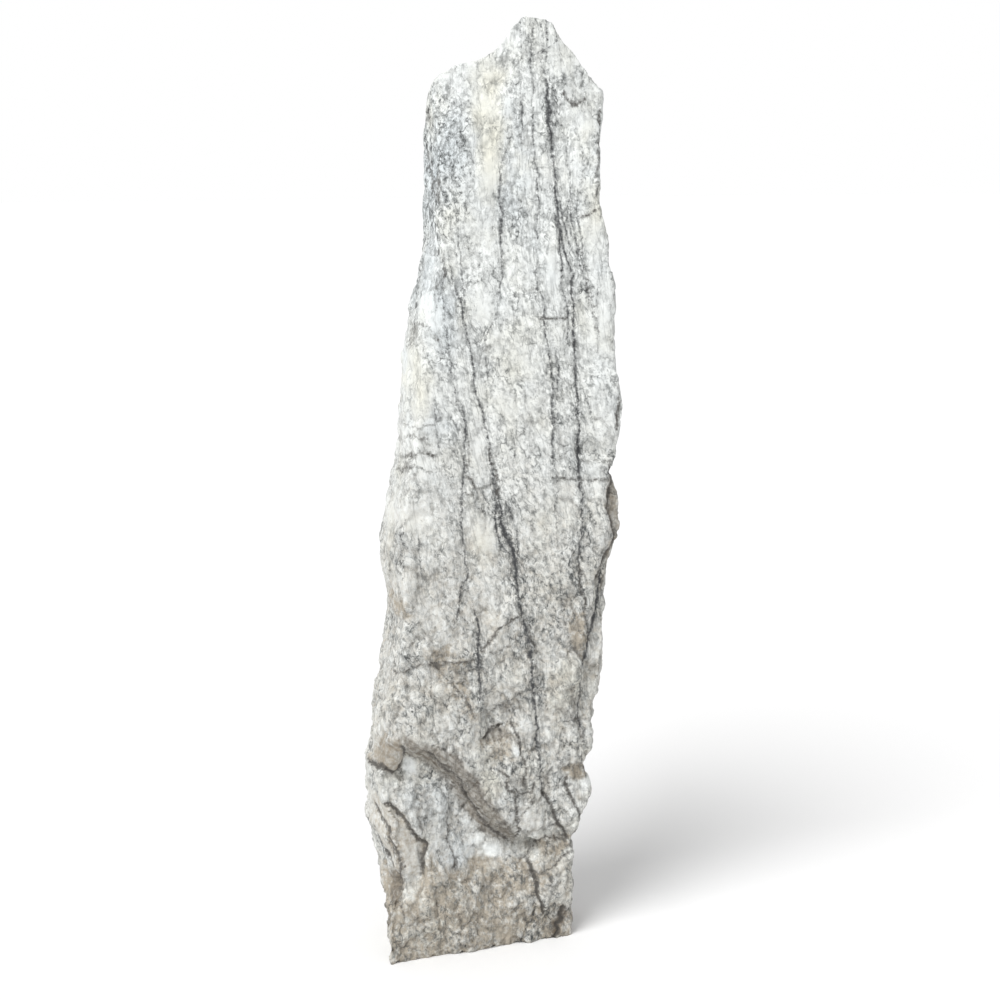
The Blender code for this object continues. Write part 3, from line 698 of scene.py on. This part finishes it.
def lighter_skin(mesh):
    """The skin with its flatter places drawn in fewer triangles."""
    bmesh.ops.triangulate(mesh, faces=mesh.faces)
    data = bpy.data.meshes.new("dense")
    mesh.to_mesh(data)
    dense = bpy.data.objects.new("dense", data)
    bpy.context.scene.collection.objects.link(dense)
    fewer = dense.modifiers.new("fewer triangles", "DECIMATE")
    fewer.ratio = min(1.0, TRIANGLES / len(data.polygons))
    light = bpy.data.meshes.new_from_object(
        dense.evaluated_get(bpy.context.evaluated_depsgraph_get())
    )
    bpy.data.objects.remove(dense)
    bpy.data.meshes.remove(data)
    for point in light.vertices:
        point.co = kept_inside(point.co)
    return light


def add(tree, kind, sockets=None, **settings):
    """Adds a shader node with its settings, and sets its inputs by name or number.

    An input takes a value, a socket that it is linked to, or a node whose first output it reads.
    """
    node = tree.nodes.new("ShaderNode" + kind)
    for name, value in settings.items():
        setattr(node, name, value)
    for socket, value in (sockets or {}).items():
        if isinstance(value, bpy.types.Node):
            value = value.outputs[0]
        if isinstance(value, bpy.types.NodeSocket):
            tree.links.new(value, node.inputs[socket])
        else:
            node.inputs[socket].default_value = value
    return node


def draw_curve(node, rows):
    """Sets the curve of a Float Curve node to pass through (input, output) rows."""
    curve = node.mapping.curves[0]
    for _ in rows[2:]:
        curve.points.new(0.5, 0.5)
    for point, (at, value) in zip(curve.points, rows):
        point.location = (at, value)
        point.handle_type = "AUTO_CLAMPED"
    node.mapping.update()


def vein_darkness(tree, height, across):
    """How dark the veins are, as a thin core and as the bundle of finer layers around each.

    Both are 1 in the middle of a vein of full darkness, and fall below 0 away from every vein.
    A curve holds values from 0 to 1, so it keeps a place with 0.5 m added, and half of a darkness.
    """
    darkest = [None, None]
    for places, strengths in VEINS:
        line = add(tree, "FloatCurve", {1: height})
        draw_curve(line, [(z / TOP, x + 0.5) for z, x in places])
        strength = add(tree, "FloatCurve", {1: height})
        draw_curve(strength, [(z / TOP, 0.5 * value) for z, value in strengths])
        side = add(tree, "Math", {0: across, 1: line}, operation="SUBTRACT")
        gap = add(tree, "Math", {0: side}, operation="ABSOLUTE")
        for number, width in enumerate((VEIN_WIDTH, BUNDLE_WIDTH)):
            here = add(tree, "Math", {0: gap, 1: -0.5 / width, 2: strength}, operation="MULTIPLY_ADD")
            if darkest[number] is not None:
                here = add(tree, "Math", {0: darkest[number], 1: here}, operation="MAXIMUM")
            darkest[number] = here
    return [add(tree, "Math", {0: half, 1: 2.0}, operation="MULTIPLY") for half in darkest]


def thin_lines(tree, place, scale, width):
    """Thin lines where a noise passes through its middle value, 1 on the line and 0 off it."""
    field = add(
        tree, "TexNoise",
        {"Vector": place, "Scale": scale, "Detail": 3.0, "Roughness": 0.55, "Distortion": 0.3},
    )
    side = add(tree, "Math", {0: field, 1: 0.5}, operation="SUBTRACT")
    gap = add(tree, "Math", {0: side}, operation="ABSOLUTE")
    return add(tree, "MapRange", {"Value": gap, "From Max": width, "To Min": 1.0, "To Max": 0.0})


def split_marble(colours, grain_height):
    """White marble, split by wedges and left rough.

    The break runs between the grains, so the surface is matt and sugary, with no polish. The white
    ground is calcite; graphite and clay darken the layers that it was squeezed into. The joints take
    dust and painted shade, and the fold valleys, the scarp face and a few hollows of the front take
    painted shade.
    """
    material = bpy.data.materials.new("rough_split_marble")
    material.use_nodes = True
    tree = material.node_tree
    shader = tree.nodes["Principled BSDF"]
    shader.inputs["Roughness"].default_value = 0.85
    shader.inputs["IOR"].default_value = 1.5

    place = add(tree, "TexCoord").outputs["Object"]
    across, deep, up = add(tree, "SeparateXYZ", {0: place}).outputs
    height = add(tree, "Math", {0: up, 1: TOP}, operation="DIVIDE")
    # Painted shade comes in with these marks: in the joints and fold valleys, along some dark lines and
    # on some grime and stain patches
    marks = add(tree, "Attribute", attribute_name="marks")
    dark_line, joint_dust_and_shade, grime_and_shade = add(tree, "SeparateColor", {0: marks.outputs["Color"]}).outputs
    stain_and_shade = marks.outputs["Alpha"]
    casts = add(tree, "Attribute", attribute_name="casts")
    fresh, cool, cream = add(tree, "SeparateColor", {0: casts.outputs["Color"]}).outputs
    flecked = casts.outputs["Alpha"]
    bare = add(tree, "Attribute", attribute_name="bare").outputs["Fac"]
    depth = add(tree, "Attribute", attribute_name="relief").outputs["Fac"]

    # The layers lean, so patterns along them are read from a place moved across by the lean
    lean = add(tree, "FloatCurve", {1: height})
    draw_curve(lean, [(z / TOP, x + 0.5) for z, x in LAYER_LEAN])
    upright = add(tree, "Math", {0: across, 1: lean}, operation="SUBTRACT")
    layered = add(tree, "CombineXYZ", {0: upright, 1: deep, 2: up})
    stretched = add(tree, "VectorMath", {0: layered, 1: (1.0, 1.0, 0.75)}, operation="MULTIPLY")
    speckle = add(tree, "TexNoise", {"Vector": place, "Scale": 150.0, "Detail": 3.0, "Roughness": 0.7})

    # Veins wander by a few millimetres, and their dark mineral is speckled with grains of calcite
    wander = add(tree, "TexNoise", {"Vector": place, "Scale": 34.0, "Detail": 4.0, "Roughness": 0.65})
    jitter = add(
        tree, "Math", {0: wander, 1: VEIN_WANDER, 2: 0.5 - 0.5 * VEIN_WANDER}, operation="MULTIPLY_ADD",
    )
    shift = add(tree, "Math", {0: deep, 1: SHEET_SLANT, 2: SHEET_SHIFT}, operation="MULTIPLY_ADD")
    moved = add(tree, "Math", {0: across, 1: shift}, operation="ADD")
    vein_across = add(tree, "Math", {0: moved, 1: jitter}, operation="ADD")
    core, bundle = vein_darkness(tree, height, vein_across)
    core = add(tree, "Math", {0: speckle, 1: 3.2, 2: core}, operation="MULTIPLY_ADD")
    core = add(tree, "MapRange", {"Value": core, "From Min": 1.70, "From Max": 2.70, "To Max": 0.95})
    bundle = add(tree, "Math", {0: bundle, 1: 0.0}, operation="MAXIMUM")

    # Thin upright layers: close and dark beside the veins, faint and about 30 mm apart elsewhere
    sheets = add(tree, "VectorMath", {0: layered, 1: (1.0, 1.0, 0.09)}, operation="MULTIPLY")
    share = add(tree, "Math", {0: bundle, 1: 0.62, 2: 0.05}, operation="MULTIPLY_ADD", use_clamp=True)
    close = add(tree, "Math", {0: thin_lines(tree, sheets, 120.0, 0.07), 1: share}, operation="MULTIPLY")
    faint = add(tree, "Math", {0: thin_lines(tree, sheets, 36.0, 0.020), 1: 0.35}, operation="MULTIPLY")
    layers = add(tree, "Math", {0: faint, 1: close}, operation="MAXIMUM")

    # Where the white ground is clean and where it is grey with graphite, in clouds of about 80 mm
    clouds = add(
        tree, "TexNoise", {"Vector": stretched, "Scale": 13.0, "Detail": 5.0, "Roughness": 0.62},
    )
    density = add(tree, "Math", {0: flecked, 1: 0.26, 2: clouds}, operation="MULTIPLY_ADD")
    density = add(tree, "Math", {0: bundle, 1: 0.05, 2: density}, operation="MULTIPLY_ADD")
    density = add(
        tree, "MapRange",
        {"Value": density, "From Min": 0.25, "From Max": 0.69, "To Min": 0.08, "To Max": 1.15},
    )

    # Graphite as soft flecks of up to 9 mm between the grains, and dust in short broken strokes
    greys = add(
        tree, "TexNoise",
        {"Vector": stretched, "Scale": 115.0, "Detail": 5.0, "Roughness": 0.74, "Distortion": 0.5},
    )
    greys = add(tree, "MapRange", {"Value": greys, "From Min": 0.43, "From Max": 0.66, "To Max": 0.92})
    greys = add(tree, "Math", {0: greys, 1: density}, operation="MULTIPLY")
    presence = add(
        tree, "TexNoise", {"Vector": stretched, "Scale": 58.0, "Detail": 4.0, "Roughness": 0.7},
    )
    presence = add(tree, "MapRange", {"Value": presence, "From Min": 0.45, "From Max": 0.58})
    strokes = add(
        tree, "Math", {0: thin_lines(tree, stretched, 40.0, 0.036), 1: presence}, operation="MULTIPLY",
    )
    strokes = add(tree, "Math", {0: strokes, 1: density}, operation="MULTIPLY")

    # Painted shade, with dust, in the joints between the broken lumps and in the fold valleys; and the
    # long dark lines, cracks and, along some flake edges, painted shadow
    joint_and_valley_shade = add(tree, "Math", {0: speckle, 1: joint_dust_and_shade}, operation="ADD")
    joint_and_valley_shade = add(tree, "MapRange", {"Value": joint_and_valley_shade, "From Min": 0.95, "From Max": 1.50, "To Max": 0.50})
    dark_line_coat = add(tree, "Math", {0: speckle, 1: 1.6, 2: dark_line}, operation="MULTIPLY_ADD")
    dark_line_coat = add(tree, "MapRange", {"Value": dark_line_coat, "From Min": 1.08, "From Max": 1.60, "To Max": 0.90})

    # Cream and cool casts of the calcite, which keep apart because one noise drives both
    cast = add(tree, "TexNoise", {"Vector": stretched, "Scale": 12.0, "Detail": 5.0, "Roughness": 0.6})
    warm = add(tree, "Math", {0: cast, 1: 2.4, 2: -1.20}, operation="MULTIPLY_ADD")
    warm = add(tree, "Math", {0: cream, 1: 0.7, 2: warm}, operation="MULTIPLY_ADD", use_clamp=True)
    cold = add(tree, "Math", {0: cast, 1: -2.4, 2: 1.10}, operation="MULTIPLY_ADD")
    cold = add(tree, "Math", {0: cool, 1: 0.7, 2: cold}, operation="MULTIPLY_ADD", use_clamp=True)

    # Earth stain: heavy on the patches of the foot, thin above knee height, deeper in the hollows; with
    # it comes the painted shade of the right flank
    blotches = add(tree, "TexNoise", {"Vector": place, "Scale": 85.0, "Detail": 5.0, "Roughness": 0.72})
    thick = add(
        tree, "MapRange",
        {"Value": blotches, "From Min": 0.36, "From Max": 0.62, "To Min": 0.35, "To Max": 1.15},
    )
    hollow = add(
        tree, "MapRange",
        {"Value": depth, "From Min": -0.005, "From Max": 0.005, "To Min": 1.35, "To Max": 0.65},
    )
    rise = add(tree, "FloatCurve", {1: height})
    draw_curve(rise, [(z / TOP, share) for z, share in SOIL_RISE])
    soil_and_shade = add(tree, "Math", {0: rise, 1: stain_and_shade}, operation="ADD")
    soil_and_shade = add(tree, "Math", {0: soil_and_shade, 1: thick}, operation="MULTIPLY")
    soil_and_shade = add(tree, "Math", {0: soil_and_shade, 1: hollow}, operation="MULTIPLY", use_clamp=True)

    # The grime coat, scored along the long break across the lower third: grime, and painted shade on
    # that break's face, in the notch and hole low on the left and down the right flank
    turned = add(
        tree, "VectorRotate", {"Vector": place, "Angle": math.radians(-42.0)}, rotation_type="Y_AXIS",
    )
    scored = add(tree, "VectorMath", {0: turned, 1: (0.14, 1.0, 1.0)}, operation="MULTIPLY")
    streaks = add(tree, "TexNoise", {"Vector": scored, "Scale": 130.0, "Detail": 4.0, "Roughness": 0.7})
    scored_grime_and_shade = add(tree, "Math", {0: streaks, 1: 2.6, 2: -0.35}, operation="MULTIPLY_ADD")
    scored_grime_and_shade = add(tree, "Math", {0: scored_grime_and_shade, 1: grime_and_shade}, operation="MULTIPLY", use_clamp=True)

    # Fresh breaks and smooth flakes keep few of the marks that fade
    kept = add(tree, "Math", {0: fresh, 1: bare}, operation="MAXIMUM")
    kept = add(tree, "Math", {0: kept, 1: -0.75, 2: 1.0}, operation="MULTIPLY_ADD")
    # Coats laid one by one over the white: the joint, grime, stain and dark-line coats carry painted
    # shade as well as dust, grime, earth and cracks
    colour = colours.white
    for coat, painted, fades in (
        (warm, colours.cream, False), (cold, colours.cool, False), (soil_and_shade, colours.stain_and_shade, False),
        (fresh, colours.white, False), (greys, colours.fleck, True), (strokes, colours.fleck, True),
        (layers, colours.fleck, True), (joint_and_valley_shade, colours.joint_dust_and_shade, True), (scored_grime_and_shade, colours.grime_and_shade, False),
        (core, colours.vein, False), (dark_line_coat, colours.joint_dust_and_shade, False),
    ):
        if fades:
            coat = add(tree, "Math", {0: coat, 1: kept}, operation="MULTIPLY")
        colour = add(
            tree, "Mix", {"Factor": coat, 6: colour, 7: painted}, data_type="RGBA", clamp_factor=True,
        ).outputs[2]
    tree.links.new(colour, shader.inputs["Base Color"])

    # Sugary grain: crystals of up to 6 mm between the modelled chips
    grain = add(tree, "TexNoise", {"Vector": place, "Scale": 170.0, "Detail": 4.0, "Roughness": 0.7})
    cut = add(tree, "Math", {0: strokes, 1: -0.5, 2: grain}, operation="MULTIPLY_ADD")
    bump = add(tree, "Bump", {"Height": cut, "Distance": grain_height, "Strength": 1.0})
    tree.links.new(bump.outputs[0], shader.inputs["Normal"])
    return material


class MARBLE_OT_block(bpy.types.Operator):
    """Builds the stone's broken skin over its packed form and gives it the marble finish"""

    bl_idname = "marble.block"
    bl_label = "Marble Block"

    def execute(self, context):
        settings = context.scene.marble_stone
        mesh = fine_skin(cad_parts[NODE], settings.cell)
        break_skin(mesh, settings)
        data = lighter_skin(mesh)
        data.name = "split_stone"
        mesh.free()
        data.shade_smooth()
        data.materials.append(split_marble(context.scene.marble_colours, settings.grain_height))
        stone = bpy.data.objects.new("split_stone", data)
        context.scene.collection.objects.link(stone)
        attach(stone, "root")
        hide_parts(NODE)
        return {"FINISHED"}


class MARBLE_OT_stage(bpy.types.Operator):
    """Lays the pale floor, hangs the soft lights and sets the camera"""

    bl_idname = "marble.stage"
    bl_label = "Stage"

    def execute(self, context):
        scene = context.scene
        settings = scene.marble_stage
        mesh = bmesh.new()
        bmesh.ops.create_grid(mesh, x_segments=1, y_segments=1, size=FLOOR_REACH)
        data = bpy.data.meshes.new("floor")
        mesh.to_mesh(data)
        mesh.free()
        material = bpy.data.materials.new("matt_white_paint")
        material.use_nodes = True
        shader = material.node_tree.nodes["Principled BSDF"]
        shader.inputs["Base Color"].default_value = linear("#FBFBFB")
        shader.inputs["Roughness"].default_value = 0.9
        data.materials.append(material)
        floor = bpy.data.objects.new("floor", data)
        scene.collection.objects.link(floor)

        world = bpy.data.worlds.new("pale room")
        scene.world = world
        world.use_nodes = True
        backdrop = world.node_tree.nodes["Background"]
        backdrop.inputs["Color"].default_value = linear("#FFFFFF")
        ray = add(world.node_tree, "LightPath")
        strength = add(
            world.node_tree, "MapRange",
            {"Value": ray.outputs["Is Camera Ray"], "To Min": settings.fill, "To Max": 1.0},
        )
        world.node_tree.links.new(strength.outputs[0], backdrop.inputs["Strength"])

        light = bpy.data.lights.new("key", "SUN")
        light.energy = settings.key
        light.angle = LIGHT_SPREAD
        lamp = bpy.data.objects.new("key", light)
        lamp.rotation_euler = LIGHT_FROM.to_track_quat("Z", "Y").to_euler()
        scene.collection.objects.link(lamp)

        rise = math.asin((settings.camera_height - CAMERA_AIM.z) / settings.distance)
        back = Vector((
            math.sin(settings.azimuth) * math.cos(rise),
            -math.cos(settings.azimuth) * math.cos(rise),
            math.sin(rise),
        ))
        view = bpy.data.cameras.new("camera")
        view.lens = settings.lens
        camera = bpy.data.objects.new("camera", view)
        camera.location = CAMERA_AIM + back * settings.distance
        camera.rotation_euler = (-back).to_track_quat("-Z", "Y").to_euler()
        scene.collection.objects.link(camera)
        scene.camera = camera
        scene.view_settings.view_transform = "Standard"
        return {"FINISHED"}


class MARBLE_PT_panel(bpy.types.Panel):
    """Lists the stone's operators and settings"""

    bl_label = "Marble Block"
    bl_space_type = "VIEW_3D"
    bl_region_type = "UI"
    bl_category = "Marble"

    def draw(self, context):
        layout = self.layout
        scene = context.scene
        for group in (scene.marble_stone, scene.marble_colours, scene.marble_stage):
            for name in group.__annotations__:
                layout.prop(group, name)
        layout.operator(MARBLE_OT_block.bl_idname)
        layout.operator(MARBLE_OT_stage.bl_idname)


CLASSES = (
    MarbleStoneSettings, MarbleColourSettings, MarbleStageSettings,
    MARBLE_OT_block, MARBLE_OT_stage, MARBLE_PT_panel,
)


def register():
    """Registers the classes and hangs the settings on the scene."""
    for item in CLASSES:
        bpy.utils.register_class(item)
    bpy.types.Scene.marble_stone = PointerProperty(type=MarbleStoneSettings)
    bpy.types.Scene.marble_colours = PointerProperty(type=MarbleColourSettings)
    bpy.types.Scene.marble_stage = PointerProperty(type=MarbleStageSettings)


def unregister():
    """Takes the settings off the scene and unregisters the classes."""
    del bpy.types.Scene.marble_stage
    del bpy.types.Scene.marble_colours
    del bpy.types.Scene.marble_stone
    for item in reversed(CLASSES):
        bpy.utils.unregister_class(item)


def main():
    """Builds the stone and its stage."""
    register()
    bpy.ops.marble.block()
    bpy.ops.marble.stage()


if __name__ == "__main__":
    main()
